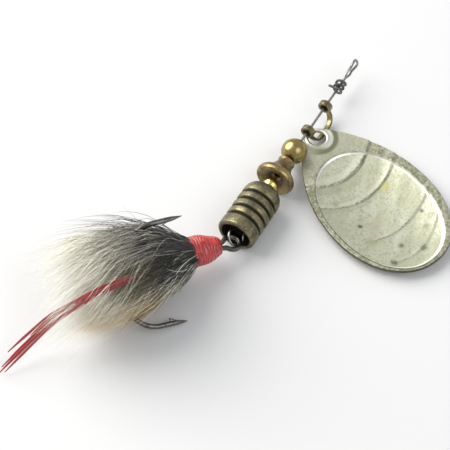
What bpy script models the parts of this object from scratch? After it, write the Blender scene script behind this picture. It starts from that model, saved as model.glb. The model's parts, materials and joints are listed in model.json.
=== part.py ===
"""Inline spinner: a fishing lure whose blade spins on a wire shaft ahead of a dressed treble hook.

The lure lies on its side.  The shaft runs along X with the line eye at +X, and Z = 0 is the surface
that the body, the bell, the blade and two hook points rest on.
"""

import math

import bmesh
import bpy
import numpy as np
from mathutils import Matrix, Vector, geometry

MM = 0.001

# Everything below is in millimetres and degrees.  X is measured from the rear face of the body, and
# the whole lure is then moved by LURE_SHIFT so that the middle of its footprint is the origin.
LURE_SHIFT = (-2.007, 4.414, -0.05)
AXIS_HEIGHT = 2.9

WIRE_DIAMETER = 0.5
LINE_EYE_TIP_X = 36.3
LINE_EYE_WIDTH = 1.8
LINE_EYE_ROLL = 62.0
WRAP_START_X = 29.5
WRAP_END_X = 31.6
WRAP_TURNS = 3
WRAP_RADIUS = 0.66
TWIST_END_X = 33.6
TWIST_RADIUS = 0.32
TAG_LENGTH = 0.8
HOOK_LOOP_RADIUS = 1.25
HOOK_LOOP_OFFSET = 0.25
HOOK_LOOP_ROLL = 45.0
TAIL_OFFSET = 0.62
TAIL_END_X = 6.0

BODY_LENGTH = 8.8
BODY_DIAMETER = 5.6
BODY_BORE = 2.1
BODY_FRONT_BORE = 0.9
BODY_STEP_X = 7.0
BODY_RECESS_DIAMETER = 4.3
BODY_RECESS_DEPTH = 2.3
GROOVE_COUNT = 4
GROOVE_PITCH = 1.4
GROOVE_WIDTH = 0.5
GROOVE_DEPTH = 0.42
FIRST_GROOVE_X = 1.85

SMALL_BEAD_X = 9.95
SMALL_BEAD_DIAMETER = 2.2
BELL_MOUTH_X = 10.3
BELL_TOP_X = 14.8
BELL_DIAMETER = 5.7
BELL_NECK_DIAMETER = 2.5
ROUND_BEAD_X = 16.8
ROUND_BEAD_DIAMETER = 3.7
BEAD_BORE = 0.8

CLEVIS_REAR_EAR_X = 20.95
CLEVIS_FRONT_EAR_X = 26.2
CLEVIS_EAR_DIAMETER = 1.9
CLEVIS_STRAP_WIDTH = 0.8
CLEVIS_SHEET = 0.4
CLEVIS_DEPTH = 2.6
CLEVIS_ROLL = 30.0

BLADE_LENGTH = 28.2
BLADE_WIDTH = 17.0
BLADE_SHEET = 0.5
BLADE_HOLE_DIAMETER = 2.6
BLADE_HOLE = (21.45, -1.3)
BLADE_HOLE_FROM_TIP = 2.05
BLADE_RIM_HEIGHT = 1.36
BLADE_DISH_DEPTH = 1.06
BLADE_DISH_CENTRE = 15.4
BLADE_DISH_EDGE = 0.84
BLADE_HEADING = 244.7
BLADE_LIP_HEIGHT = 0.15
BLADE_LIP_WIDTH = 0.4

# The treble's own frame has its eye at the origin, X along the shank, Y to the near side, Z up
TREBLE_EYE = (-1.05, -0.10, 2.66)
TREBLE_YAW = 144.0
TREBLE_PITCH = 12.0
HOOK_WIRE = 0.7
HOOK_EYE_RADIUS = 1.15
SHANK_SPREAD = 0.46
SINGLE_SHANK_START = 2.2
BEND_CENTRE = 12.9
BEND_RADIUS = 4.05
POINT_X = 9.1
POINT_FLARE = 0.2
HOOK_ANGLES = {"near": -30.0, "up": 90.0, "far": 210.0}

THREAD_START = 1.75
THREAD_END = 6.05
THREAD_FRONT_RADIUS = 1.2
THREAD_REAR_RADIUS = 1.95
THREAD_TURNS = 9

HAIR_START = 4.6
HAIR_GAP = 0.42
FIBRE_DIAMETER = 0.34
FIBRE_PLANE = 38.0
FIBRE_REACHES = (33.2, 33.9, 33.5, 29.4, 32.4)

MATERIALS = {
    "spring_wire": ((0.36, 0.35, 0.33), 0.32, 1.0),
    "body_brass": ((0.16, 0.145, 0.085), 0.42, 1.0),
    "bell_brass": ((0.30, 0.235, 0.105), 0.34, 1.0),
    "bead_brass": ((0.38, 0.29, 0.12), 0.24, 1.0),
    "bright_brass": ((0.75, 0.62, 0.16), 0.2, 1.0),
    "clevis_brass": ((0.36, 0.29, 0.15), 0.36, 1.0),
    "blade_silver": ((0.60, 0.61, 0.50), 0.3, 1.0),
    "hook_steel": ((0.07, 0.068, 0.062), 0.3, 1.0),
    "red_thread": ((0.62, 0.045, 0.04), 0.35, 0.0),
    "red_fibre": ((0.55, 0.05, 0.045), 0.4, 0.0),
    "dark_hair": ((0.05, 0.047, 0.043), 0.7, 0.0),
    "grey_hair": ((0.25, 0.23, 0.20), 0.7, 0.0),
    "cream_hair": ((0.72, 0.66, 0.52), 0.7, 0.0),
}


def clear_scene():
    for obj in list(bpy.data.objects):
        bpy.data.objects.remove(obj, do_unlink=True)


def make_material(name):
    colour, roughness, metallic = MATERIALS[name]
    material = bpy.data.materials.get(name) or bpy.data.materials.new(name)
    material.use_nodes = True
    shader = material.node_tree.nodes["Principled BSDF"]
    shader.inputs["Base Color"].default_value = (*colour, 1.0)
    shader.inputs["Roughness"].default_value = roughness
    shader.inputs["Metallic"].default_value = metallic
    return material


def add_object(name, data, material, parent):
    obj = bpy.data.objects.new(name, data)
    bpy.context.scene.collection.objects.link(obj)
    data.materials.append(make_material(material))
    obj.parent = parent
    return obj


def add_empty(name, place, parent=None):
    """An axis that pieces are parented to; place is its matrix, with its location in millimetres."""
    empty = bpy.data.objects.new(name, None)
    bpy.context.scene.collection.objects.link(empty)
    empty.parent = parent
    place = place.copy()
    place.translation *= MM
    empty.matrix_local = place
    return empty


def finish_mesh(bm, name, material, parent):
    bmesh.ops.recalc_face_normals(bm, faces=bm.faces)
    mesh = bpy.data.meshes.new(name)
    bm.to_mesh(mesh)
    bm.free()
    mesh.shade_smooth()
    mesh.set_sharp_from_angle(angle=math.radians(35))
    return add_object(name, mesh, material, parent)


def turned(name, profile, segments, material, parent):
    """A closed outline of (x, radius) points spun about the X axis."""
    bm = bmesh.new()
    verts = [bm.verts.new((x * MM, 0.0, r * MM)) for x, r in profile]
    edges = [bm.edges.new((verts[i - 1], verts[i])) for i in range(len(verts))]
    bmesh.ops.spin(bm, geom=verts + edges, cent=(0, 0, 0), axis=(1, 0, 0),
                   angle=math.tau, steps=segments, use_merge=True)
    bmesh.ops.remove_doubles(bm, verts=bm.verts, dist=1e-6)
    return finish_mesh(bm, name, material, parent)


def lofted(name, sections, material, parent):
    """A closed solid over rings of points, one ring per section, with both ends filled."""
    bm = bmesh.new()
    rings = [[bm.verts.new(Vector(point) * MM) for point in section] for section in sections]
    for ring, following in zip(rings, rings[1:]):
        for i in range(len(ring)):
            bm.faces.new((ring[i - 1], ring[i], following[i], following[i - 1]))
    bm.faces.new(rings[0])
    bm.faces.new(rings[-1])
    return finish_mesh(bm, name, material, parent)


def round_wire(name, points, diameter, material, parent, radii=None):
    """A round wire through the points, with closed ends and an optional taper."""
    curve = bpy.data.curves.new(name, "CURVE")
    curve.dimensions = "3D"
    curve.bevel_depth = diameter / 2 * MM
    curve.bevel_resolution = 1
    curve.use_fill_caps = True
    curve.twist_mode = "MINIMUM"
    spline = curve.splines.new("POLY")
    spline.points.add(len(points) - 1)
    for i, point in enumerate(points):
        spline.points[i].co = (*(Vector(point) * MM), 1.0)
        spline.points[i].radius = 1.0 if radii is None else radii[i]
    return add_object(name, curve, material, parent)


def to_mesh(obj):
    """The same object with its curve turned into a mesh."""
    bpy.context.view_layer.update()
    graph = bpy.context.evaluated_depsgraph_get()
    mesh = bpy.data.meshes.new_from_object(obj.evaluated_get(graph))
    name = obj.name
    parent = obj.parent
    bpy.data.objects.remove(obj, do_unlink=True)
    result = bpy.data.objects.new(name, mesh)
    bpy.context.scene.collection.objects.link(result)
    result.parent = parent
    return result


def combine(obj, other, operation):
    """Joins another solid to an object, or cuts it away, and keeps the result."""
    modifier = obj.modifiers.new("combine", "BOOLEAN")
    modifier.object = other
    modifier.operation = operation
    bpy.context.view_layer.update()
    graph = bpy.context.evaluated_depsgraph_get()
    obj.data = bpy.data.meshes.new_from_object(obj.evaluated_get(graph))
    obj.modifiers.remove(modifier)
    bpy.data.objects.remove(other, do_unlink=True)


def smooth_path(points, count):
    """A Catmull-Rom curve through the points, read at evenly spaced parameters."""
    points = np.asarray(points, float)
    padded = np.vstack([2 * points[0] - points[1], points, 2 * points[-1] - points[-2]])
    path = []
    for place in np.linspace(0.0, len(points) - 1.0, count):
        i = min(int(place), len(points) - 2)
        t = place - i
        before, here, after, beyond = padded[i:i + 4]
        path.append(0.5 * (2 * here + (after - before) * t
                           + (2 * before - 5 * here + 4 * after - beyond) * t ** 2
                           + (3 * here - before - 3 * after + beyond) * t ** 3))
    return np.array(path)


def eased(start, end, t):
    t = min(max(t, 0.0), 1.0)
    return start + (end - start) * t * t * (3 - 2 * t)


def beside_shaft(x, radius, angle):
    """A point beside the shaft; angle 0 is towards -Y and a quarter turn is straight down."""
    return (x, -radius * math.cos(angle), -radius * math.sin(angle))


def shaft_wire(parent):
    """One wire: tag end, wraps, twist, line eye, twist again, straight shaft, hook loop and tail."""
    roll = math.radians(LINE_EYE_ROLL)
    twist_start = WRAP_END_X
    twist_turn = math.pi
    wrap_end_angle = roll + math.pi - twist_turn
    path = []
    steps_per_turn = 14
    wrap_steps = WRAP_TURNS * steps_per_turn
    tag_steps = 4
    for i in range(tag_steps):
        lift = (tag_steps - i) / tag_steps
        angle = wrap_end_angle - WRAP_TURNS * math.tau - 0.5 * lift
        path.append(beside_shaft(WRAP_START_X - 0.15 * lift, WRAP_RADIUS + TAG_LENGTH * lift, angle))
    for i in range(wrap_steps):
        t = i / wrap_steps
        radius = WRAP_RADIUS + 0.08 * math.sin(9 * t) ** 2
        x = WRAP_START_X + (twist_start - WRAP_START_X) * t
        path.append(beside_shaft(x, radius, wrap_end_angle - WRAP_TURNS * math.tau * (1 - t)))
    twist_steps = 10
    for i in range(twist_steps + 1):
        t = i / twist_steps
        radius = eased(WRAP_RADIUS, TWIST_RADIUS, 2 * t)
        x = twist_start + (TWIST_END_X - twist_start) * t
        path.append(beside_shaft(x, radius, wrap_end_angle + twist_turn * t))
    eye_radius = (LINE_EYE_WIDTH - WIRE_DIAMETER) / 2
    eye_centre = LINE_EYE_TIP_X - WIRE_DIAMETER / 2 - eye_radius
    flank = [(TWIST_END_X + (eye_centre - TWIST_END_X) * t, eased(TWIST_RADIUS, eye_radius, t))
             for t in (0.25, 0.5, 0.75)]
    arc = [(eye_centre + eye_radius * math.sin(math.pi * k / 12), eye_radius * math.cos(math.pi * k / 12))
           for k in range(13)]
    for x, across in flank + arc + [(x, -across) for x, across in reversed(flank)]:
        path.append(beside_shaft(x, -across, roll))
    for i in range(twist_steps + 1):
        t = 1 - i / twist_steps
        radius = eased(0.0, TWIST_RADIUS, 2 * t)
        x = twist_start + (TWIST_END_X - twist_start) * t
        path.append(beside_shaft(x, radius, wrap_end_angle + math.pi + twist_turn * t))
    path += [(x, 0.0, 0.0) for x in (29.0, 20.0, 12.0, 5.0, 3.2)]
    loop_arc = [(HOOK_LOOP_RADIUS * math.cos(math.radians(angle)),
                 HOOK_LOOP_OFFSET - HOOK_LOOP_RADIUS * math.sin(math.radians(angle)))
                for angle in range(50, 311, 20)]
    loop = [(2.7, 0.0), (2.0, -0.1), (1.4, -0.36), *loop_arc, (1.4, 0.93), (2.0, 0.70), (2.7, TAIL_OFFSET)]
    loop_roll = math.radians(HOOK_LOOP_ROLL)
    for x, across in smooth_path(loop, 44):
        path.append(beside_shaft(x, across, loop_roll))
    path.append(beside_shaft(TAIL_END_X, TAIL_OFFSET, loop_roll))
    return round_wire("shaft_wire", path, WIRE_DIAMETER, "spring_wire", parent)


def body_profile():
    """Half section of the grooved body: bored through, with an open recess at the rear."""
    radius = BODY_DIAMETER / 2
    recess = BODY_RECESS_DIAMETER / 2
    outline = [(BODY_RECESS_DEPTH, BODY_BORE / 2), (BODY_RECESS_DEPTH - 0.5, recess),
               (0.15, recess), (0.0, recess + 0.15), (0.0, radius - 0.3), (0.3, radius)]
    for i in range(GROOVE_COUNT):
        start = FIRST_GROOVE_X + i * GROOVE_PITCH
        end = start + GROOVE_WIDTH
        floor = radius - GROOVE_DEPTH
        slope = 0.12
        outline += [(start - slope, radius), (start, radius - 0.1), (start + slope, floor),
                    (end - slope, floor), (end, radius - 0.1), (end + slope, radius)]
    dome_start = FIRST_GROOVE_X + (GROOVE_COUNT - 1) * GROOVE_PITCH + GROOVE_WIDTH + 0.45
    top_radius = 1.5
    for k in range(1, 6):
        turn = math.radians(18 * k)
        outline.append((dome_start + (BODY_LENGTH - dome_start) * math.sin(turn),
                        top_radius + (radius - top_radius) * math.cos(turn)))
    outline += [(BODY_LENGTH, BODY_FRONT_BORE / 2), (BODY_STEP_X, BODY_FRONT_BORE / 2),
                (BODY_STEP_X - 0.4, BODY_BORE / 2)]
    return outline


def bead_profile(centre, diameter, bore, steps):
    """Half section of a round bead with a straight hole."""
    radius = diameter / 2
    start = math.asin(bore / diameter)
    turns = np.linspace(start, math.pi - start, steps)
    return [(centre - radius * math.cos(turn), radius * math.sin(turn)) for turn in turns]


def bell_profile():
    """Half section of the bell: rolled lip, flare, waist and neck, hollow towards the body."""
    radius = BELL_DIAMETER / 2
    neck = BELL_NECK_DIAMETER / 2
    outer = [(BELL_MOUTH_X + 0.55, 1.62), (BELL_MOUTH_X + 0.35, 1.95), (BELL_MOUTH_X + 0.55, 2.35),
             (BELL_MOUTH_X + 0.95, radius - 0.1), (BELL_MOUTH_X + 1.3, radius),
             (BELL_MOUTH_X + 1.65, radius - 0.12), (BELL_MOUTH_X + 2.1, 2.2),
             (BELL_MOUTH_X + 2.6, 1.62), (BELL_MOUTH_X + 3.2, neck + 0.08),
             (BELL_TOP_X - 0.7, neck - 0.02), (BELL_TOP_X - 0.2, neck), (BELL_TOP_X, neck - 0.2)]
    inner = [(BELL_TOP_X, BEAD_BORE / 2), (BELL_MOUTH_X + 1.7, BEAD_BORE / 2),
             (BELL_MOUTH_X + 1.45, 0.9), (BELL_MOUTH_X + 0.9, 1.32)]
    return outer + inner


def clevis(parent):
    """Folded strap in the plane of the shaft: two drilled ears joined by a U of sheet."""
    roll = math.radians(CLEVIS_ROLL)
    rear = CLEVIS_REAR_EAR_X
    front = CLEVIS_FRONT_EAR_X
    centre_line = [(front, 0.45), (front, 1.1), (front - 0.15, 1.75), (front - 0.65, 2.3),
                   (front - 1.5, CLEVIS_DEPTH), (rear + 1.9, CLEVIS_DEPTH), (rear + 1.0, 2.45),
                   (rear + 0.45, 2.0), (rear + 0.12, 1.4), (rear, 0.9), (rear, 0.45)]
    path = smooth_path(centre_line, 31)
    along = np.gradient(path, axis=0)
    along /= np.linalg.norm(along, axis=1)[:, None]
    normal = np.stack([-along[:, 1], along[:, 0]], axis=1)
    side_way = Vector((0.0, -math.sin(roll), -math.cos(roll)))
    across = Vector((0.0, -math.cos(roll), math.sin(roll)))
    half_width = CLEVIS_STRAP_WIDTH / 2
    half_sheet = CLEVIS_SHEET / 2
    sections = []
    for (x, depth), (normal_x, normal_depth) in zip(path, normal):
        ring = []
        for sheet, width in ((1, 1), (1, -1), (-1, -1), (-1, 1)):
            place = Vector((x + sheet * half_sheet * normal_x, 0.0, 0.0))
            place += side_way * (depth + sheet * half_sheet * normal_depth)
            place += across * (width * half_width)
            ring.append(place)
        sections.append(ring)
    strap = lofted("clevis", sections, "clevis_brass", parent)
    for x in (rear, front):
        ear = turned("ear", ear_profile(x, CLEVIS_SHEET * 1.15, 0.0), 24, "clevis_brass", parent)
        combine(strap, ear, "UNION")
    for x in (rear, front):
        drill = turned("drill", [(x - 1, 0), (x - 1, BEAD_BORE / 2), (x + 1, BEAD_BORE / 2), (x + 1, 0)],
                       16, "clevis_brass", parent)
        combine(strap, drill, "DIFFERENCE")
    return strap


def ear_profile(x, sheet, inner):
    """Half section of a disc on the shaft."""
    radius = CLEVIS_EAR_DIAMETER / 2
    edge = 0.08
    return [(x - sheet / 2, inner), (x - sheet / 2, radius - edge), (x - sheet / 2 + edge, radius),
            (x + sheet / 2 - edge, radius), (x + sheet / 2, radius - edge), (x + sheet / 2, inner)]


def blade_outline():
    """The blade's edge as (distance from the tip, distance from the middle line), tip first."""
    half = BLADE_WIDTH / 2
    widest = 0.6 * BLADE_LENGTH
    tip_side = geometry.interpolate_bezier(
        Vector((0.0, 0.0, 0.0)), Vector((0.0, 0.95, 0.0)),
        Vector((widest - 10.3, half, 0.0)), Vector((widest, half, 0.0)), 17)
    far_side = geometry.interpolate_bezier(
        Vector((widest, half, 0.0)), Vector((widest + 6.7, half, 0.0)),
        Vector((BLADE_LENGTH, 4.9, 0.0)), Vector((BLADE_LENGTH, 0.0, 0.0)), 15)
    half_outline = [(p.x, p.y) for p in tip_side] + [(p.x, p.y) for p in far_side[1:]]
    return half_outline + [(u, -v) for u, v in reversed(half_outline[1:-1])]


def dish(share):
    """How far the sheet sinks, from 1 in the middle of the dish to 0 on the flat rim."""
    inside = min(share / BLADE_DISH_EDGE, 1.0)
    return (1 - inside ** 2) ** 1.25


def blade(parent):
    """Oval sheet with a flat rim, a dished middle and a drilled, lipped hole near its tip."""
    outline = blade_outline()
    shares = [0.0, 0.2, 0.38, 0.54, 0.66, 0.75, 0.81, 0.85, 0.92, 1.0]
    bm = bmesh.new()
    layers = []
    for lift in (-BLADE_SHEET / 2, BLADE_SHEET / 2):
        centre = bm.verts.new(blade_point(BLADE_DISH_CENTRE, 0.0, lift - BLADE_DISH_DEPTH))
        rings = []
        for share in shares[1:]:
            height = lift - BLADE_DISH_DEPTH * dish(share)
            rings.append([bm.verts.new(blade_point(BLADE_DISH_CENTRE + (u - BLADE_DISH_CENTRE) * share,
                                                   v * share, height)) for u, v in outline])
        for i in range(len(outline)):
            bm.faces.new((centre, rings[0][i - 1], rings[0][i]))
            for ring, following in zip(rings, rings[1:]):
                bm.faces.new((ring[i - 1], ring[i], following[i], following[i - 1]))
        layers.append(rings[-1])
    for i in range(len(outline)):
        bm.faces.new((layers[0][i - 1], layers[0][i], layers[1][i], layers[1][i - 1]))
    sheet = finish_mesh(bm, "blade", "blade_silver", parent)
    hole = BLADE_HOLE_DIAMETER / 2
    lip = upright_disc("lip", hole + BLADE_LIP_WIDTH, 0.0, BLADE_SHEET / 2 + BLADE_LIP_HEIGHT, parent)
    combine(sheet, lip, "UNION")
    drill = upright_disc("drill", hole, -1.0, 1.0, parent)
    combine(sheet, drill, "DIFFERENCE")
    return sheet


def blade_point(u, v, height):
    """Place in the blade's frame, whose origin is the hole and whose X runs to the far end."""
    return Vector((u - BLADE_HOLE_FROM_TIP, v, height)) * MM


def upright_disc(name, radius, bottom, top, parent):
    bm = bmesh.new()
    bmesh.ops.create_cone(bm, cap_ends=True, segments=28, radius1=radius * MM, radius2=radius * MM,
                          depth=(top - bottom) * MM)
    bmesh.ops.translate(bm, verts=bm.verts, vec=(0, 0, (top + bottom) / 2 * MM))
    return finish_mesh(bm, name, "blade_silver", parent)


def treble_place(x, radius, angle):
    """A point round the shank, in the treble's frame."""
    return np.array([x, radius * math.cos(math.radians(angle)), radius * math.sin(math.radians(angle))])


def hook_path(angle):
    """From the shank round the bend to the point, with the wire's share of its full thickness."""
    path = [treble_place(BEND_CENTRE - 1.5, SHANK_SPREAD, angle)]
    bend_steps = 13
    for k in range(bend_steps):
        turn = math.pi * k / (bend_steps - 1)
        path.append(treble_place(BEND_CENTRE + BEND_RADIUS * math.sin(turn),
                                 SHANK_SPREAD + BEND_RADIUS * (1 - math.cos(turn)), angle))
    tip_radius = SHANK_SPREAD + 2 * BEND_RADIUS + POINT_FLARE
    shares = [1.0] * len(path)
    for x, rise, share in ((11.4, 0.15, 1.0), (10.4, 0.4, 0.85), (9.7, 0.75, 0.5), (POINT_X, 1.0, 0.08)):
        path.append(treble_place(x, tip_radius - POINT_FLARE * (1 - rise), angle))
        shares.append(share)
    return path, shares


def barb(angle, parent):
    """A thin wedge raised from the inside of the point, sloping back to the bend."""
    radius = SHANK_SPREAD + 2 * BEND_RADIUS
    sections = []
    for x, inward, half in ((9.95, 0.12, 0.10), (10.75, 0.34, 0.12), (11.55, 0.80, 0.04)):
        ring = []
        for depth, side in ((0.0, 1), (0.0, -1), (inward, -1), (inward, 1)):
            place = treble_place(x, radius - depth, angle)
            place += treble_place(0.0, side * half, angle + 90)
            ring.append(place)
        sections.append(ring)
    return lofted("barb", sections, "hook_steel", parent)


def hook_pair(parent):
    """Two hooks bent from one wire, which also forms the eye at its middle."""
    near, near_share = hook_path(HOOK_ANGLES["near"])
    far, far_share = hook_path(HOOK_ANGLES["far"])
    side = SHANK_SPREAD * math.cos(math.radians(HOOK_ANGLES["near"]))
    level = SHANK_SPREAD * math.sin(math.radians(HOOK_ANGLES["near"]))
    opening = 32
    ring = []
    for k in range(19):
        turn = math.radians(opening + (360 - 2 * opening) * k / 18)
        ring.append((HOOK_EYE_RADIUS * math.cos(turn), HOOK_EYE_RADIUS * math.sin(turn), 0.0))
    run_in = [(BEND_CENTRE - 4, side, level), (4.0, side, level), (2.4, side, level), (1.7, side, level * 0.6)]
    run_out = [(x, -y, z) for x, y, z in reversed(run_in)]
    path = list(reversed(near)) + run_in + ring + run_out + far
    shares = list(reversed(near_share)) + [1.0] * (len(run_in) * 2 + len(ring)) + far_share
    pair = to_mesh(round_wire("hook_pair", path, HOOK_WIRE, "hook_steel", parent, shares))
    for which in ("near", "far"):
        combine(pair, barb(HOOK_ANGLES[which], parent), "UNION")
    return pair


def hook_single(parent):
    """The third hook, laid in the groove between the other two shanks."""
    bend, shares = hook_path(HOOK_ANGLES["up"])
    start = treble_place(SINGLE_SHANK_START, SHANK_SPREAD, HOOK_ANGLES["up"])
    single = to_mesh(round_wire("hook_single", [start] + bend, HOOK_WIRE, "hook_steel", parent,
                                [1.0] + shares))
    combine(single, barb(HOOK_ANGLES["up"], parent), "UNION")
    return single


def thread_profile():
    """Half section of the whipping: a cone with a soft ridge for each turn and a flared mouth."""
    outer = []
    steps = THREAD_TURNS * 2
    for k in range(steps + 1):
        t = k / steps
        swell = 0.05 if k % 2 else 0.0
        radius = THREAD_FRONT_RADIUS + (THREAD_REAR_RADIUS - THREAD_FRONT_RADIUS) * t ** 0.8
        outer.append((THREAD_START + (THREAD_END - THREAD_START) * t, radius + swell))
    inner = [(THREAD_END, 1.55), (HAIR_START - 0.1, 1.4), (HAIR_START - 0.3, 0.9), (THREAD_START, 0.9)]
    return outer + inner


def hair_lock(name, material, start_angle, end_angle, outer, parent, drift=(0.0, 0.0)):
    """A wedge of hair between two planes through the shank; outer lists (x, radius) to the tips."""
    middle = math.radians((start_angle + end_angle) / 2)
    half = math.radians((end_angle - start_angle) / 2)
    apex = HAIR_GAP / math.sin(half)
    sections = []
    for x, radius in outer:
        ring = [(x, apex * math.cos(middle), apex * math.sin(middle))]
        spread = half - math.asin(min(HAIR_GAP / radius, 0.95))
        for k in range(7):
            angle = middle - spread + 2 * spread * k / 6
            ring.append((x, radius * math.cos(angle), radius * math.sin(angle)))
        past_bends = max(x - BEND_CENTRE - BEND_RADIUS, 0.0)
        sections.append([(px, py + drift[0] * past_bends, pz + drift[1] * past_bends)
                         for px, py, pz in ring])
    return lofted(name, sections, material, parent)


def hair(parent):
    """Six locks fill the space between the hook bends and run on past them."""
    root = [(HAIR_START, 1.22), (THREAD_END + 0.1, 1.36)]
    full = root + [(9.0, 3.1), (12.5, 4.6), (16.0, 5.6), (18.5, 5.2), (21.5, 3.9), (24.0, 2.2)]
    short = root + [(9.0, 2.7), (12.5, 3.7), (15.5, 4.0), (18.0, 3.4), (20.0, 2.3)]
    low = root + [(9.0, 2.7), (12.5, 3.9), (16.0, 4.6), (18.5, 4.2), (21.0, 2.4)]
    hair_lock("hair_top_near", "grey_hair", FIBRE_PLANE, 90, full, parent, (-0.12, -0.1))
    hair_lock("hair_top_far", "dark_hair", 90, 150, full, parent, (-0.12, -0.1))
    hair_lock("hair_side_far", "dark_hair", 150, 210, full, parent, (-0.12, -0.1))
    hair_lock("hair_side_near", "cream_hair", -30, FIBRE_PLANE, short, parent, (-0.12, -0.1))
    hair_lock("hair_under_near", "cream_hair", 270, 330, low, parent, (-0.12, -0.1))
    hair_lock("hair_under_far", "cream_hair", 210, 270, low, parent, (-0.12, -0.1))


def red_fibres(parent):
    """Five fibres leave between two locks, lie on the dressing and trail past it to the surface."""
    for number, reach in enumerate(FIBRE_REACHES):
        root = 1.75 + 0.42 * number
        spread = number - 2
        path = smooth_path([treble_place(6.8, root, FIBRE_PLANE),
                            treble_place(10.5, root + 1.5, FIBRE_PLANE),
                            treble_place(14.5, 4.55 + 0.42 * number, FIBRE_PLANE),
                            (19.0, 5.0 + 0.28 * spread, 1.6 + 0.42 * spread),
                            (25.0, 5.1 + 0.38 * spread, -2.7 + 0.36 * spread),
                            (reach, 5.2 + 0.48 * spread, -2.7 - 0.72 * (reach - 25.0))], 26)
        round_wire("red_fibre_%d" % (number + 1), path, FIBRE_DIAMETER, "red_fibre", parent)


def main():
    clear_scene()
    lure = add_empty("lure", Matrix.Translation(LURE_SHIFT))
    shaft = add_empty("shaft_axis", Matrix.Translation((0.0, 0.0, AXIS_HEIGHT)), lure)
    shaft_wire(shaft)
    turned("grooved_body", body_profile(), 40, "body_brass", shaft)
    turned("small_bead", bead_profile(SMALL_BEAD_X, SMALL_BEAD_DIAMETER, BEAD_BORE, 11), 24,
           "bright_brass", shaft)
    turned("bell_bead", bell_profile(), 40, "bell_brass", shaft)
    turned("round_bead", bead_profile(ROUND_BEAD_X, ROUND_BEAD_DIAMETER, BEAD_BORE, 15), 32,
           "bead_brass", shaft)
    clevis(shaft)
    blade_turn = Matrix.Rotation(math.radians(BLADE_HEADING), 4, "Z")
    blade_axis = add_empty("blade_axis",
                           Matrix.Translation((*BLADE_HOLE, BLADE_RIM_HEIGHT)) @ blade_turn, lure)
    blade(blade_axis)
    treble_turn = (Matrix.Rotation(math.radians(TREBLE_YAW), 4, "Z")
                   @ Matrix.Rotation(math.radians(-TREBLE_PITCH), 4, "Y"))
    treble = add_empty("treble_axis", Matrix.Translation(TREBLE_EYE) @ treble_turn, lure)
    hook_pair(treble)
    hook_single(treble)
    turned("thread_wrap", thread_profile(), 28, "red_thread", treble)
    hair(treble)
    red_fibres(treble)


main()
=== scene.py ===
# Inline spinner on a pale surface: fine surfaces, finishes, hair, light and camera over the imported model
import json
import math

import bpy
import numpy as np
from mathutils import Matrix, Vector


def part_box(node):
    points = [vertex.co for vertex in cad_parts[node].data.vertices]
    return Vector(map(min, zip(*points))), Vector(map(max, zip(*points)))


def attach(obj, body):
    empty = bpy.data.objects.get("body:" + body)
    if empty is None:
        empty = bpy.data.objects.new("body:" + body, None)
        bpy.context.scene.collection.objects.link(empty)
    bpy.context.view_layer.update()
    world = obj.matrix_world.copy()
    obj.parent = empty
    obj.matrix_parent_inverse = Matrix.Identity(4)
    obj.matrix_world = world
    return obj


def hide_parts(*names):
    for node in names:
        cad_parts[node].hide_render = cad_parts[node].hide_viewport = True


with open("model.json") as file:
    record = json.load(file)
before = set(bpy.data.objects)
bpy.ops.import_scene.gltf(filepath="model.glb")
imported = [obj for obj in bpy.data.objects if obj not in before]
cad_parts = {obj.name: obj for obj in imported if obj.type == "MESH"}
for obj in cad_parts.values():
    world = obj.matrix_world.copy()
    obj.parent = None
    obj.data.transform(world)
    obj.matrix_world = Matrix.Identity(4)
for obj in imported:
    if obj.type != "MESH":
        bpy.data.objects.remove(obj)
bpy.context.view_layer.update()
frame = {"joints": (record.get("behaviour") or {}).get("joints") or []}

mm = 0.001
tau = 2 * math.pi
rng = np.random.default_rng(11)
scene = bpy.context.scene


def unit(vectors):
    # each vector over its own length
    return vectors / np.maximum(np.linalg.norm(vectors, axis=-1, keepdims=True), 1e-9)


def polar(x, radius, angle):
    # points (x, r cos a, r sin a), with the angle in degrees
    x, radius, angle = np.broadcast_arrays(x, radius, np.radians(angle))
    return np.stack([x, radius * np.cos(angle), radius * np.sin(angle)], -1)


def around(count):
    # evenly spaced angles of a full turn
    return np.linspace(0, tau, count, endpoint=False)


def smoothPath(points, count):
    # a Catmull-Rom cubic through the points, read at evenly spaced parameters
    points = np.asarray(points, float)
    padded = np.vstack([2 * points[0] - points[1], points, 2 * points[-1] - points[-2]])
    place = np.linspace(0, len(points) - 1, count)
    i = np.minimum(place.astype(int), len(points) - 2)
    t = (place - i)[:, None]
    a, b, c, d = padded[i], padded[i + 1], padded[i + 2], padded[i + 3]
    return 0.5 * (2 * b + (c - a) * t + (2 * a - 5 * b + 4 * c - d) * t ** 2
                  + (3 * b - a - 3 * c + d) * t ** 3)


def evenly(points, step, closed=False):
    # the same line with points every step of its length
    points = np.asarray(points, float)
    if closed:
        points = np.vstack([points, points[:1]])
    length = np.concatenate([[0], np.cumsum(np.linalg.norm(np.diff(points, axis=0), axis=1))])
    count = max(int(length[-1] / step), 3)
    at = np.linspace(0, length[-1], count + 1)
    if closed:
        at = at[:-1]
    return np.stack([np.interp(at, length, points[:, k]) for k in range(points.shape[1])], -1)


def softened(points, passes, closed=True):
    # each point moved to the mean of itself and its neighbours, which rounds corners
    for _ in range(passes):
        near = (np.roll(points, 1, 0) + 2 * points + np.roll(points, -1, 0)) / 4
        if not closed:
            near[0], near[-1] = points[0], points[-1]
        points = near
    return points


def rounded(points, step, passes, closed=True):
    # evenly spaced, then softened
    return softened(evenly(points, step, closed), passes, closed)


def between(start, end, t):
    # start + (end - start) t
    return start + (end - start) * t


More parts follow.
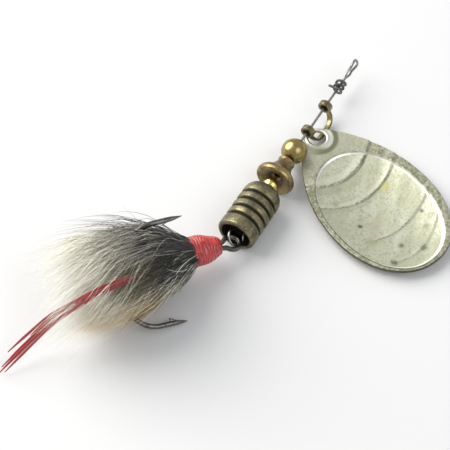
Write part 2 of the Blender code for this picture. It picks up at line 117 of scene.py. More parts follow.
def grid(points, wrapU=False, wrapV=True, caps=False, **layers):
    # a closed shell over points[i, j]; caps close the first and last rings with a fan, and a shell
    # whose signed volume comes out negative is turned round
    rows, columns = points.shape[:2]
    i = np.arange(rows if wrapU else rows - 1)[:, None]
    j = np.arange(columns if wrapV else columns - 1)[None, :]
    nextI, nextJ = (i + 1) % rows, (j + 1) % columns
    quads = np.stack([i * columns + j, nextI * columns + j, nextI * columns + nextJ,
                      i * columns + nextJ], -1).reshape(-1, 4)
    places = points.reshape(-1, 3)
    values = {key: np.broadcast_to(value, (rows, columns)).ravel()
              for key, value in layers.items()}
    fans = np.zeros((0, 3), int)
    if caps:
        first = np.arange(columns)
        last = first + (rows - 1) * columns
        middle = len(places)
        places = np.vstack([places, points[0].mean(0), points[-1].mean(0)])
        values = {key: np.concatenate([value, value[:1], value[-1:]]) for key, value in values.items()}
        fans = np.vstack([np.stack([np.full(columns, middle), first, np.roll(first, -1)], -1),
                          np.stack([np.full(columns, middle + 1), np.roll(last, -1), last], -1)])
    triangles = np.vstack([quads[:, [0, 1, 2]], quads[:, [0, 2, 3]], fans])
    a, b, c = places[triangles[:, 0]], places[triangles[:, 1]], places[triangles[:, 2]]
    if np.sum(a * np.cross(b, c)) < 0:
        quads, fans = quads[:, ::-1], fans[:, ::-1]
    return {"places": places, "quads": quads, "fans": fans, "layers": values}


def lathe(profile, turns=96, waver=0.0, **layers):
    # a closed outline of (x, radius) carried round the X axis; waver swells it unevenly
    angle = around(turns)
    x, radius = profile[:, 0, None], profile[:, 1, None]
    radius = radius + waver * np.sin(2 * angle + 0.8 * x) * np.sin(0.9 * x + angle)
    points = polar(x, radius, np.degrees(angle))
    return grid(points, wrapU=True, **{key: value[:, None] for key, value in layers.items()})


def tube(path, radii, sides=14, reference=(1.0, -0.6, 0.8), flat=1.0, **layers):
    # a circle of the given radius carried along the path, with its ends closed
    path = np.asarray(path, float)
    radii = np.broadcast_to(radii, len(path))
    tangent = unit(np.gradient(path, axis=0))
    normal = unit(reference - (tangent @ reference)[:, None] * tangent)
    side = np.cross(tangent, normal)
    turn = around(sides)
    ring = (np.cos(turn)[None, :, None] * normal[:, None] * flat
            + np.sin(turn)[None, :, None] * side[:, None])
    across = np.broadcast_to(np.sin(turn)[None, :], (len(path), sides))
    return grid(path[:, None] + radii[:, None, None] * ring, caps=True,
                along=np.linspace(0, 1, len(path))[:, None], across=across, **layers)


def strands(paths, radii, **layers):
    # three-sided hairs, closed at both ends: paths[s, k] are centre lines, radii the half thickness
    count, steps = paths.shape[:2]
    tangent = unit(np.gradient(paths, axis=1))
    reference = unit(rng.normal(size=(count, 1, 3)))
    normal = unit(reference - np.sum(reference * tangent, -1, keepdims=True) * tangent)
    side = np.cross(tangent, normal)
    turn = np.arange(3) * tau / 3
    ring = (np.cos(turn)[None, None, :, None] * normal[:, :, None]
            + np.sin(turn)[None, None, :, None] * side[:, :, None])
    points = paths[:, :, None] + np.broadcast_to(radii, (count, steps))[:, :, None, None] * ring
    s = np.arange(count)[:, None, None] * steps * 3
    k = np.arange(steps - 1)[None, :, None] * 3
    j = np.arange(3)[None, None, :]
    nextJ = (j + 1) % 3
    here, there = s + k, s + k + 3
    quads = np.stack(np.broadcast_arrays(here + j, here + nextJ, there + nextJ, there + j), -1)
    base = np.arange(count)[:, None] * steps * 3
    tip = base + (steps - 1) * 3
    fans = np.vstack([base + np.array([[2, 1, 0]]), tip + np.array([[0, 1, 2]])])
    values = {key: np.broadcast_to(np.asarray(value)[..., None], (count, steps, 3)).ravel()
              for key, value in layers.items()}
    return {"places": points.reshape(-1, 3), "quads": quads.reshape(-1, 4), "fans": fans,
            "layers": values}


def placed(name, data):
    # a new object in the scene
    obj = bpy.data.objects.new(name, data)
    scene.collection.objects.link(obj)
    return obj


def piece(name, shells, place, material, body, nodes):
    # one mesh from the shells, whose points place() carries from their own millimetres to the frame's
    offset = 0
    places, quads, fans = [], [], []
    keys = sorted({key for shell in shells for key in shell["layers"]})
    layers = {key: [] for key in keys}
    for shell in shells:
        places.append(place(shell["places"]) * mm)
        quads.append(shell["quads"] + offset)
        fans.append(shell["fans"] + offset)
        for key in keys:
            layers[key].append(shell["layers"].get(key, np.zeros(len(shell["places"]))))
        offset += len(shell["places"])
    places, quads, fans = np.vstack(places), np.vstack(quads), np.vstack(fans)
    corners = np.concatenate([quads.ravel(), fans.ravel()]).astype(np.int32)
    starts = np.concatenate([np.arange(len(quads)) * 4, len(quads) * 4 + np.arange(len(fans)) * 3])
    mesh = bpy.data.meshes.new(name)
    mesh.vertices.add(len(places))
    mesh.vertices.foreach_set("co", places.astype(np.float32).ravel())
    mesh.loops.add(len(corners))
    mesh.loops.foreach_set("vertex_index", corners)
    mesh.polygons.add(len(starts))
    mesh.polygons.foreach_set("loop_start", starts.astype(np.int32))
    mesh.update(calc_edges=True)
    mesh.validate()
    mesh.polygons.foreach_set("use_smooth", np.ones(len(mesh.polygons), bool))
    for key in keys:
        layer = mesh.attributes.new(key, "FLOAT", "POINT")
        layer.data.foreach_set("value", np.concatenate(layers[key]).astype(np.float32))
    mesh.materials.append(material)
    obj = placed(name, mesh)
    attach(obj, body)
    if nodes:
        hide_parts(*nodes)


def operator(operation):
    # a method that carries a socket through one maths node
    return lambda self, *others: self.maths(operation, *others)


class Sock:
    # a node socket that can stand in a sum
    def __init__(self, tree, socket):
        self.tree = tree
        self.socket = socket

    def node(self, kind, settings=None, inputs=None, output=0):
        made = self.tree.nodes.new(kind)
        for key, value in (settings or {}).items():
            setattr(made, key, value)
        for key, value in (inputs or {}).items():
            if isinstance(value, Sock):
                self.tree.links.new(value.socket, made.inputs[key])
            else:
                made.inputs[key].default_value = value
        return Sock(self.tree, made.outputs[output])

    def maths(self, operation, *others):
        inputs = {0: self}
        inputs.update({k + 1: other for k, other in enumerate(others)})
        return self.node("ShaderNodeMath", {"operation": operation}, inputs)

    __add__ = __radd__ = operator("ADD")
    __mul__ = __rmul__ = operator("MULTIPLY")
    __sub__ = operator("SUBTRACT")
    __truediv__ = operator("DIVIDE")
    __pow__ = operator("POWER")
    __abs__ = operator("ABSOLUTE")

    def __rsub__(self, other):
        return self.maths("MULTIPLY", -1.0).maths("ADD", other)

    def __rtruediv__(self, other):
        return self.maths("POWER", -1.0).maths("MULTIPLY", other)

    def ramp(self, low, high, start=0.0, end=1.0):
        # smooth step from start at low to end at high
        return self.node("ShaderNodeMapRange", {"interpolation_type": "SMOOTHSTEP"},
                         {0: self, 1: low, 2: high, 3: start, 4: end})

    def band(self, middle, half, soft):
        # 1 within half of middle, falling to 0 over soft
        return abs(self - middle).ramp(half, half + soft, 1.0, 0.0)

    def blend(self, first, second):
        # first colour where this is 0, second where it is 1
        first, second = [colour if isinstance(colour, Sock) else (*colour, 1.0)
                         for colour in (first, second)]
        return self.node("ShaderNodeMix", {"data_type": "RGBA"}, {0: self, 6: first, 7: second}, 2)

    def stretched(self, x, y, z):
        return self.node("ShaderNodeVectorMath", {"operation": "MULTIPLY"}, {0: self, 1: (x, y, z)})

    def noise(self, scale, detail=3.0, rough=0.55):
        values = {"Vector": self, "Scale": scale, "Detail": detail, "Roughness": rough}
        return self.node("ShaderNodeTexNoise", {}, values)


class Finish:
    # one material: its coordinates in millimetres, its mesh layers and its shader
    def __init__(self, name):
        self.material = bpy.data.materials.new(name)
        self.material.use_nodes = True
        self.tree = self.material.node_tree
        self.shader = self.tree.nodes["Principled BSDF"]
        self.root = Sock(self.tree, None)
        self.place = self.root.node("ShaderNodeTexCoord", {}, {}, 3).stretched(1000, 1000, 1000)

    def layer(self, name):
        return self.root.node("ShaderNodeAttribute", {"attribute_name": name}, {}, 2)

    def set(self, **values):
        for key, value in values.items():
            socket = self.shader.inputs[key.replace("_", " ")]
            if isinstance(value, Sock):
                self.tree.links.new(value.socket, socket)
            elif isinstance(value, tuple):
                socket.default_value = (*value, 1.0)
            else:
                socket.default_value = value

    def bump(self, height, depth=0.02, strength=0.6):
        values = {"Strength": strength, "Distance": depth * mm, "Height": height}
        self.set(Normal=self.root.node("ShaderNodeBump", {}, values))


def metalFinish(name, look):
    # clean metal, tarnish where a broad noise is high, the dark colour as painted shade where a mesh layer
    # marks hollows, and fine turning marks
    finish = Finish(name)
    place = finish.place
    broad = place.noise(look["patch"], 5.0, 0.62)
    fine = place.noise(look["patch"] * 6, 4.0, 0.6)
    tarnish = (broad * 0.7 + fine * 0.3).ramp(look["low"], look["high"])
    crevice = finish.layer("crevice")
    colour = tarnish.blend(look["clean"], look["tarnish"])
    colour = (fine.ramp(0.55, 0.72) * look["specks"]).blend(colour, look["speck"])
    # painted shade: the dark colour over the hollows that the mesh layer marks
    colour = (crevice * (0.75 + fine * 0.4)).ramp(0.1, 0.95).blend(colour, look["dark"])
    lines = place.stretched(*look["grain"]).noise(1.0, 3.0, 0.7)
    rough = look["rough"] + tarnish * 0.16 + (lines - 0.5) * 0.18 + crevice * 0.25
    finish.set(Base_Color=colour, Metallic=1.0 - crevice * 0.35, Roughness=rough)
    finish.bump(lines * 0.5 + fine * 0.5 + broad * 1.2, look["depth"], 0.7)
    return finish.material


# clean, tarnish, speck and dark are colours, dark being the painted shade in hollows; specks is how much
# they show, patch the noise scale that the tarnish follows between low and high, grain the stretch of the
# turning marks and depth their height
metals = {
    "wire": dict(
        clean=(0.34, 0.33, 0.32), tarnish=(0.15, 0.145, 0.135), speck=(0.1, 0.08, 0.06),
        dark=(0.035, 0.033, 0.03), specks=0.5, patch=0.9, low=0.45, high=0.72, rough=0.27, depth=0.02,
        grain=(0.6, 9, 9)),
    "body": dict(
        clean=(0.31, 0.275, 0.15), tarnish=(0.125, 0.115, 0.075), speck=(0.07, 0.055, 0.035),
        dark=(0.022, 0.018, 0.012), specks=0.6, patch=0.55, low=0.36, high=0.6, rough=0.36, depth=0.035,
        grain=(14, 0.5, 0.5)),
    "small": dict(
        clean=(0.86, 0.7, 0.2), tarnish=(0.55, 0.42, 0.12), speck=(0.3, 0.2, 0.06), dark=(0.1, 0.07, 0.03),
        specks=0.4, patch=0.8, low=0.45, high=0.8, rough=0.17, depth=0.02, grain=(12, 0.5, 0.5)),
    "bell": dict(
        clean=(0.4, 0.32, 0.125), tarnish=(0.2, 0.135, 0.085), speck=(0.1, 0.05, 0.045),
        dark=(0.085, 0.058, 0.045), specks=0.7, patch=0.5, low=0.36, high=0.62, rough=0.26, depth=0.03,
        grain=(11, 0.5, 0.5)),
    "bead": dict(
        clean=(0.4, 0.31, 0.125), tarnish=(0.2, 0.155, 0.075), speck=(0.12, 0.09, 0.05),
        dark=(0.05, 0.04, 0.02), specks=0.6, patch=0.5, low=0.42, high=0.7, rough=0.24, depth=0.012,
        grain=(8, 0.5, 0.5)),
    "clevis": dict(
        clean=(0.31, 0.265, 0.14), tarnish=(0.12, 0.1, 0.058), speck=(0.08, 0.06, 0.04),
        dark=(0.02, 0.017, 0.012), specks=0.7, patch=0.8, low=0.4, high=0.66, rough=0.26, depth=0.03,
        grain=(3, 3, 3)),
    "hook": dict(
        clean=(0.17, 0.165, 0.155), tarnish=(0.06, 0.056, 0.05), speck=(0.11, 0.055, 0.03),
        dark=(0.03, 0.028, 0.025), specks=0.5, patch=0.7, low=0.38, high=0.62, rough=0.25, depth=0.02,
        grain=(4, 4, 4)),
}
made = {key: metalFinish(key + "Metal", look) for key, look in metals.items()}
print("finishes: metals done")

bodyLow, bodyHigh = [np.array(corner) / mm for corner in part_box("grooved_body")]
shaftStart = np.array([bodyLow[0], (bodyLow[1] + bodyHigh[1]) / 2, (bodyLow[2] + bodyHigh[2]) / 2])


def onShaft(points):
    return points + shaftStart


shaftLook = dict(
    wire=0.19, eyeTip=36.3, eyeWidth=1.3, eyeRoll=62.0, wrapStart=29.5, wrapEnd=31.5, wrapTurns=2.5,
    wrapRadius=0.6, wrapSwell=0.16, twistEnd=34.0, twistRadius=0.27, tag=0.8, loopRadius=1.25,
    loopShift=0.25, loopRoll=45.0, tailShift=0.62, tailEnd=6.0, nicks=0.012)


def eased(start, end, t):
    # from start to end with a level beginning and end
    t = np.clip(t, 0, 1)
    return start + (end - start) * t * t * (3 - 2 * t)


def shaftPath(look):
    # tag, coils round the shaft, half a twist, a teardrop eye, the twist back, the shaft, the hook loop
    roll = look["eyeRoll"]
    turns = look["wrapTurns"] * 360
    lift = np.linspace(1, 0.2, 5)
    tag = polar(look["wrapStart"] - 0.15 * lift, look["wrapRadius"] + look["tag"] * lift,
                roll - turns - math.degrees(0.5) * lift)
    t = np.linspace(0, 1, 120, endpoint=False)
    coils = polar(between(look["wrapStart"], look["wrapEnd"], t),
                  look["wrapRadius"] + look["wrapSwell"] * np.sin(7 * t) ** 2, roll - turns * (1 - t))
    t = np.linspace(0, 1, 24)
    twistX = between(look["wrapEnd"], look["twistEnd"], t)
    twist = polar(twistX, eased(look["wrapRadius"], look["twistRadius"], 2 * t), roll + 180 * t)
    eyeRadius = look["eyeWidth"] / 2 - look["wire"]
    eyeCentre = look["eyeTip"] - look["wire"] - eyeRadius
    s = np.linspace(0, 1, 12)[1:-1]
    flankX = between(look["twistEnd"], eyeCentre, s)
    flankR = eased(look["twistRadius"], eyeRadius, s)
    bend = np.linspace(0, math.pi, 25)
    eyeX = np.concatenate([flankX, eyeCentre + eyeRadius * np.sin(bend), flankX[::-1]])
    eyeR = np.concatenate([flankR, eyeRadius * np.cos(bend), -flankR[::-1]])
    eye = polar(eyeX, -eyeR, roll)
    back = polar(twistX[::-1], eased(0.0, look["twistRadius"], 2 * t[::-1]), roll + 180 + 180 * t[::-1])
    straight = polar([30.5, 29.0, 20.0, 12.0, 5.0, 3.2], 0.0, 0.0)
    arc = np.radians(np.arange(50, 311, 20))
    loop = [(2.7, 0.0), (2.0, -0.1), (1.4, -0.36)]
    loop += list(zip(look["loopRadius"] * np.cos(arc),
                     look["loopShift"] - look["loopRadius"] * np.sin(arc)))
    loop += [(1.4, 0.93), (2.0, 0.7), (2.7, look["tailShift"])]
    loop = smoothPath(loop, 90)
    hook = polar(loop[:, 0], loop[:, 1], look["loopRoll"])
    end = polar([look["tailEnd"]], look["tailShift"], look["loopRoll"])
    path = np.vstack([tag, coils, twist, eye, back[1:], straight, hook, end])
    path[:, 1:] *= -1
    return rounded(path, 0.09, 3, closed=False)


path = shaftPath(shaftLook)
steps = np.arange(len(path))
nicks = shaftLook["nicks"] * np.sin(steps * 0.21) * np.sin(steps * 0.057)
wrapMiddle = (shaftLook["wrapStart"] + shaftLook["wrapEnd"]) / 2
# painted shade round the wrapped coils
coilShade = np.exp(-((path[:, 0] - wrapMiddle) / 1.6) ** 2) * 0.75
piece("shaftWire", [tube(path, shaftLook["wire"] + nicks, 14, crevice=coilShade[:, None])], onShaft,
      made["wire"], "wire", ["shaft_wire"])

bodyLook = dict(
    length=8.8, radius=2.8, bore=1.05, frontBore=0.45, stepX=7.0, recess=2.15, recessDepth=2.3, grooves=4,
    pitch=1.4, width=0.5, depth=0.42, first=1.85, wall=0.12, topRadius=1.5, dome=0.45)


def bodyOutline(look):
    # bore, recess and chamfer, then a ribbed barrel and a quarter-ellipse shoulder
    radius, floor, wall = look["radius"], look["radius"] - look["depth"], look["wall"]
    outline = [(look["recessDepth"], look["bore"]), (look["recessDepth"] - 0.5, look["recess"]),
               (0.15, look["recess"]), (0.0, look["recess"] + 0.15), (0.0, radius - 0.3), (0.3, radius)]
    for k in range(look["grooves"]):
        start = look["first"] + k * look["pitch"]
        end = start + look["width"]
        outline += [(start - wall, radius), (start, radius - 0.1), (start + wall, floor),
                    (end - wall, floor), (end, radius - 0.1), (end + wall, radius)]
    domeStart = look["first"] + (look["grooves"] - 1) * look["pitch"] + look["width"] + look["dome"]
    turn = np.radians(np.linspace(6, 90, 15))
    outline += list(zip(between(domeStart, look["length"], np.sin(turn)),
                        between(look["topRadius"], radius, np.cos(turn))))
    outline += [(look["length"], look["frontBore"]), (look["stepX"], look["frontBore"]),
                (look["stepX"] - 0.4, look["bore"])]
    return np.array(outline)


# painted shade in the grooves, the bore and the recess
outline = rounded(bodyOutline(bodyLook), 0.06, 2)
below = bodyLook["radius"] - 0.06 - outline[:, 1]
grooveShade = np.clip(below / 0.3, 0, 1) * (outline[:, 0] < bodyLook["stepX"] + 0.2)
grooveShade = np.where((outline[:, 1] > bodyLook["recess"] + 0.05) & (outline[:, 0] < 0.6), 0.1, grooveShade)
piece("groovedBody", [lathe(outline, 128, 0.012, crevice=grooveShade)], onShaft, made["body"], "body",
      ["grooved_body"])


def beadShell(look):
    # an arc about its centre from one end of the hole to the other, closed along the hole
    radius = look["radius"]
    start = math.asin(look["bore"] / radius)
    turn = np.linspace(start, math.pi - start, 48)
    outline = np.stack([look["x"] - radius * np.cos(turn), radius * np.sin(turn)], -1)
    outline = rounded(outline, look["step"], 1)
    # painted shade darkening the hole
    return lathe(outline, look["turns"], crevice=np.clip((look["bore"] + 0.1 - outline[:, 1]) * 6, 0, 1))


smallLook = dict(x=9.95, radius=1.1, bore=0.4, step=0.05, turns=72)
beadLook = dict(x=16.8, radius=1.85, bore=0.4, step=0.06, turns=96)
piece("smallBead", [beadShell(smallLook)], onShaft, made["small"], "spacer", ["small_bead"])
piece("roundBead", [beadShell(beadLook)], onShaft, made["bead"], "bead", ["round_bead"])

bellLook = dict(mouth=10.3, top=14.8, radius=2.85, neck=1.25, bore=0.4)


def bellOutline(look):
    # shallow cone, thin lip, flare, waist and neck with a small collar, closed along the hole
    m, top, neck, radius = look["mouth"], look["top"], look["neck"], look["radius"]
    outer = [(m + 0.98, 1.2), (m + 0.74, 1.8), (m + 0.52, 2.35), (m + 0.48, 2.62), (m + 0.72, 2.82),
             (m + 1.1, radius), (m + 1.5, 2.68), (m + 2.0, 2.2), (m + 2.55, 1.68), (m + 3.2, neck + 0.1),
             (top - 0.85, neck - 0.02), (top - 0.45, neck - 0.01), (top - 0.22, neck + 0.02),
             (top, neck - 0.2)]
    inner = [(top, look["bore"]), (m + 1.5, look["bore"]), (m + 1.3, 0.8)]
    return np.array(smoothPath(outer, 60).tolist() + inner)


outline = rounded(bellOutline(bellLook), 0.06, 2)
# painted shade inside the mouth, darker towards the middle
inMouth = (outline[:, 1] < 2.5) & (outline[:, 0] < bellLook["mouth"] + 1.35)
mouthShade = np.clip((2.6 - outline[:, 1]) * 0.55, 0, 0.8) * inMouth
piece("bellBead", [lathe(outline, 112, 0.01, crevice=mouthShade)], onShaft, made["bell"], "bell",
      ["bell_bead"])

clevisLook = dict(
    rear=20.95, front=26.2, ear=1.0, bore=0.4, width=0.84, sheet=0.36, earWide=0.78, depth=2.6, roll=30.0,
    squareness=0.35)


def clevisShells(look):
    # a rounded strap section carried round a U below the shaft, and a drilled disc at each end
    rear, front, power = look["rear"], look["front"], look["squareness"]
    line = [(front, 0.45), (front, 1.1), (front - 0.15, 1.75), (front - 0.65, 2.3),
            (front - 1.5, look["depth"]), (rear + 1.9, look["depth"]), (rear + 1.0, 2.45),
            (rear + 0.45, 2.0), (rear + 0.12, 1.4), (rear, 0.9), (rear, 0.45)]
    line = smoothPath(line, 90)
    along = unit(np.gradient(line, axis=0))
    roll = math.radians(look["roll"])
    down = np.array([0.0, -math.sin(roll), -math.cos(roll)])
    side = np.array([0.0, -math.cos(roll), math.sin(roll)])
    ahead = np.array([1.0, 0.0, 0.0])
    turn = around(32)
    flat = np.sign(np.cos(turn)) * np.abs(np.cos(turn)) ** power * look["sheet"] / 2
    wide = np.sign(np.sin(turn)) * np.abs(np.sin(turn)) ** power * look["width"] / 2
    centre = line[:, :1] * ahead + line[:, 1:] * down
    normal = -along[:, 1:] * ahead + along[:, :1] * down
    strap = centre[:, None] + flat[None, :, None] * normal[:, None] + wide[None, :, None] * side
    # painted shade over all of the strap but the face turned to the shaft
    inside = np.broadcast_to(np.where(np.cos(turn) > 0.2, 0.0, 0.55)[None, :], strap.shape[:2])
    shells = [grid(strap, caps=True, crevice=inside)]
    half, bore, ear = look["earWide"] / 2, look["bore"], look["ear"]
    for x in (rear, front):
        ring = [(x - half, bore), (x - half, ear), (x + half, ear), (x + half, bore)]
        ring = rounded(ring, 0.04, 3)
        # painted shade round each ear's hole
        shells.append(lathe(ring, 64, crevice=np.clip((2 * bore - ring[:, 1]) * 4, 0, 0.9)))
    return shells


piece("clevisStrap", clevisShells(clevisLook), onShaft, made["clevis"], "clevis",
      ["clevis"])
print("shaft parts done")

joints = {joint["name"]: joint for joint in frame["joints"]}
bladeLook = dict(
    length=28.2, half=8.5, sheet=0.5, hole=1.3, holeFromTip=2.05, heading=244.7, basinMiddle=16.9,
    basinLong=10.9, basinWide=7.5, basinOff=-0.3, basinPower=2.1, basinStep=0.22, basinDeep=0.75,
    lipHigh=0.12, edgeRound=0.1, dents=0.03, smallDents=0.015)
# each row is a ripple along the curve u = far - bow (v - lean) squared, with a step of rise, and then how
# dark, how wide and how long its painted line, shade and highlight are
ripples = [
    (9.9, 0.062, -1.2, 0.1, 1.0, 0.3, 7.5),
    (14.1, 0.05, -0.8, 0.08, 0.85, 0.17, 7.2),
    (20.85, 0.04, -0.9, 0.05, 0.75, 0.09, 4.3),
    (25.5, 0.06, -1.5, 0.03, 0.55, 0.1, 4.0),
]
bladePin = np.array(joints["blade_swing"]["pos_m"]) / mm
heading = math.radians(bladeLook["heading"])


def onBlade(points):
    # u along the blade from its tip, v across it
    u, v, z = points[:, 0] - bladeLook["holeFromTip"], points[:, 1], points[:, 2]
    x = u * math.cos(heading) - v * math.sin(heading)
    y = u * math.sin(heading) + v * math.cos(heading)
    return np.stack([x, y, z], -1) + bladePin


def bezier(a, b, c, d, count):
    # a cubic through four control points
    t = np.linspace(0, 1, count)[:, None]
    a, b, c, d = (np.array(p, float) for p in (a, b, c, d))
    return a * (1 - t) ** 3 + 3 * b * t * (1 - t) ** 2 + 3 * c * t ** 2 * (1 - t) + d * t ** 3


def basinShare(u, v, look):
    # a superellipse's radius, 1 on the basin's edge, for arrays and for sockets
    long = abs((u - look["basinMiddle"]) / look["basinLong"])
    wide = abs((v - look["basinOff"]) / look["basinWide"])
    return (long ** look["basinPower"] + wide ** look["basinPower"]) ** (1 / look["basinPower"])


def bladeHeight(u, v, look):
    # flat rim, a short step into the oval basin, a shallow dish, rippled steps and a lip round the hole
    share = basinShare(u, v, look)
    edge = eased(0.0, 1.0, (1.0 - share) / 0.045)
    height = -look["basinStep"] * edge - look["basinDeep"] * np.clip(1 - share ** 2, 0, 1)
    for at, bow, lean, rise, *_ in ripples:
        s = u - (at - bow * (v - lean) ** 2)
        height = height - rise * np.tanh(s / 0.12) * np.exp(-np.abs(s) / 1.1)
    fromHole = np.hypot(u - look["holeFromTip"], v) - look["hole"]
    height = height + look["lipHigh"] * np.exp(-((fromHole - 0.2) / 0.2) ** 2)
    height = height + look["dents"] * np.sin(0.7 * u + 1.1) * np.sin(0.8 * v)
    return height + look["smallDents"] * np.sin(2.1 * u) * np.sin(1.7 * v + 0.7)


def bladeShell(look):
    # straight lines from the hole's circle to the outline, over the top, round the edge and back underneath
    length, half = look["length"], look["half"]
    widest = 0.6 * length
    side = np.vstack([bezier((0, 0), (0, 0.95), (widest - 10.3, half), (widest, half), 200)[:-1],
                      bezier((widest, half), (widest + 6.7, half), (length, 4.9), (length, 0), 200)])
    rim = np.vstack([side, side[-2:0:-1] * [1, -1]])
    rim = evenly(rim, 0.2, closed=True)
    offset = rim - [look["holeFromTip"], 0]
    angle = np.arctan2(offset[:, 1], offset[:, 0])
    circle = look["hole"] * np.stack([np.cos(angle), np.sin(angle)], -1) + [look["holeFromTip"], 0]
    inward = unit(circle - rim)
    half, bevel = look["sheet"] / 2, look["edgeRound"]
    brim = rim + inward * bevel
    rows, layer = [], []

    def addRow(flat, lift, mark):
        rows.append(np.column_stack([flat, bladeHeight(flat[:, 0], flat[:, 1], look) + lift]))
        layer.append(mark)

    for share in np.linspace(0, 1, 185)[:-1] ** 1.45:
        addRow(between(circle, brim, share), half, 0.0)
    for turn in np.radians(np.linspace(90, -90, 9)):
        lift = (half - bevel) * np.sign(turn) * (abs(turn) > 0.01) + bevel * math.sin(turn)
        addRow(rim + inward * bevel * (1 - math.cos(turn)), lift, 1.0 if abs(turn) < 1.4 else 0.3)
    for share in np.linspace(1, 0, 36)[1:]:
        addRow(between(circle, brim, share), -half, 0.2)
    shell = grid(np.stack(rows), wrapU=True, edge=np.array(layer)[:, None])
    shell["layers"]["far"] = shell["places"][:, 0].copy()
    shell["layers"]["wide"] = shell["places"][:, 1].copy()
    return shell


# some of these colours paint light and shade: the basin wall's bright band and dark corner, the ripples'
# lines, shades and glows, and the hole's shade and pale lip
bladeTints = dict(
    ivory=(0.7, 0.71, 0.545), dullIvory=(0.54, 0.55, 0.4), greyIvory=(0.44, 0.45, 0.31),
    olive=(0.56, 0.56, 0.43), darkOlive=(0.24, 0.24, 0.155), tipOlive=(0.5, 0.5, 0.385),
    pit=(0.24, 0.23, 0.15), streak=(0.35, 0.35, 0.22), smudge=(0.3, 0.3, 0.185), bright=(1.0, 1.0, 0.95),
    cornerShade=(0.1, 0.1, 0.06), line=(0.13, 0.13, 0.075), shade=(0.36, 0.36, 0.25), glow=(0.92, 0.92, 0.8),
    holeShade=(0.2, 0.2, 0.11), lipHighlight=(0.78, 0.79, 0.7), edge=(0.085, 0.08, 0.05))
# far, wide, size, how much it shows, colour
stains = [
    (13.9, 3, 1.1, 0.75, (0.56, 0.5, 0.18)),
    (18.8, -2.2, 1.3, 0.35, (0.6, 0.48, 0.36)),
    (20.4, -4.4, 1.1, 0.45, (0.36, 0.42, 0.22)),
    (17.4, -4, 0.5, 0.9, (0.1, 0.09, 0.06)),
    (20.2, 4.6, 0.5, 0.8, (0.1, 0.09, 0.06)),
    (23.2, -1.4, 0.6, 0.8, (0.16, 0.15, 0.09)),
    (22.6, 3.4, 0.7, 0.6, (0.3, 0.3, 0.18)),
    (25, -4, 0.8, 0.8, (0.1, 0.1, 0.06)),
    (25.3, 0.9, 0.8, 0.7, (0.14, 0.14, 0.08)),
    (12.6, -4.6, 0.8, 0.6, (0.34, 0.34, 0.22)),
]


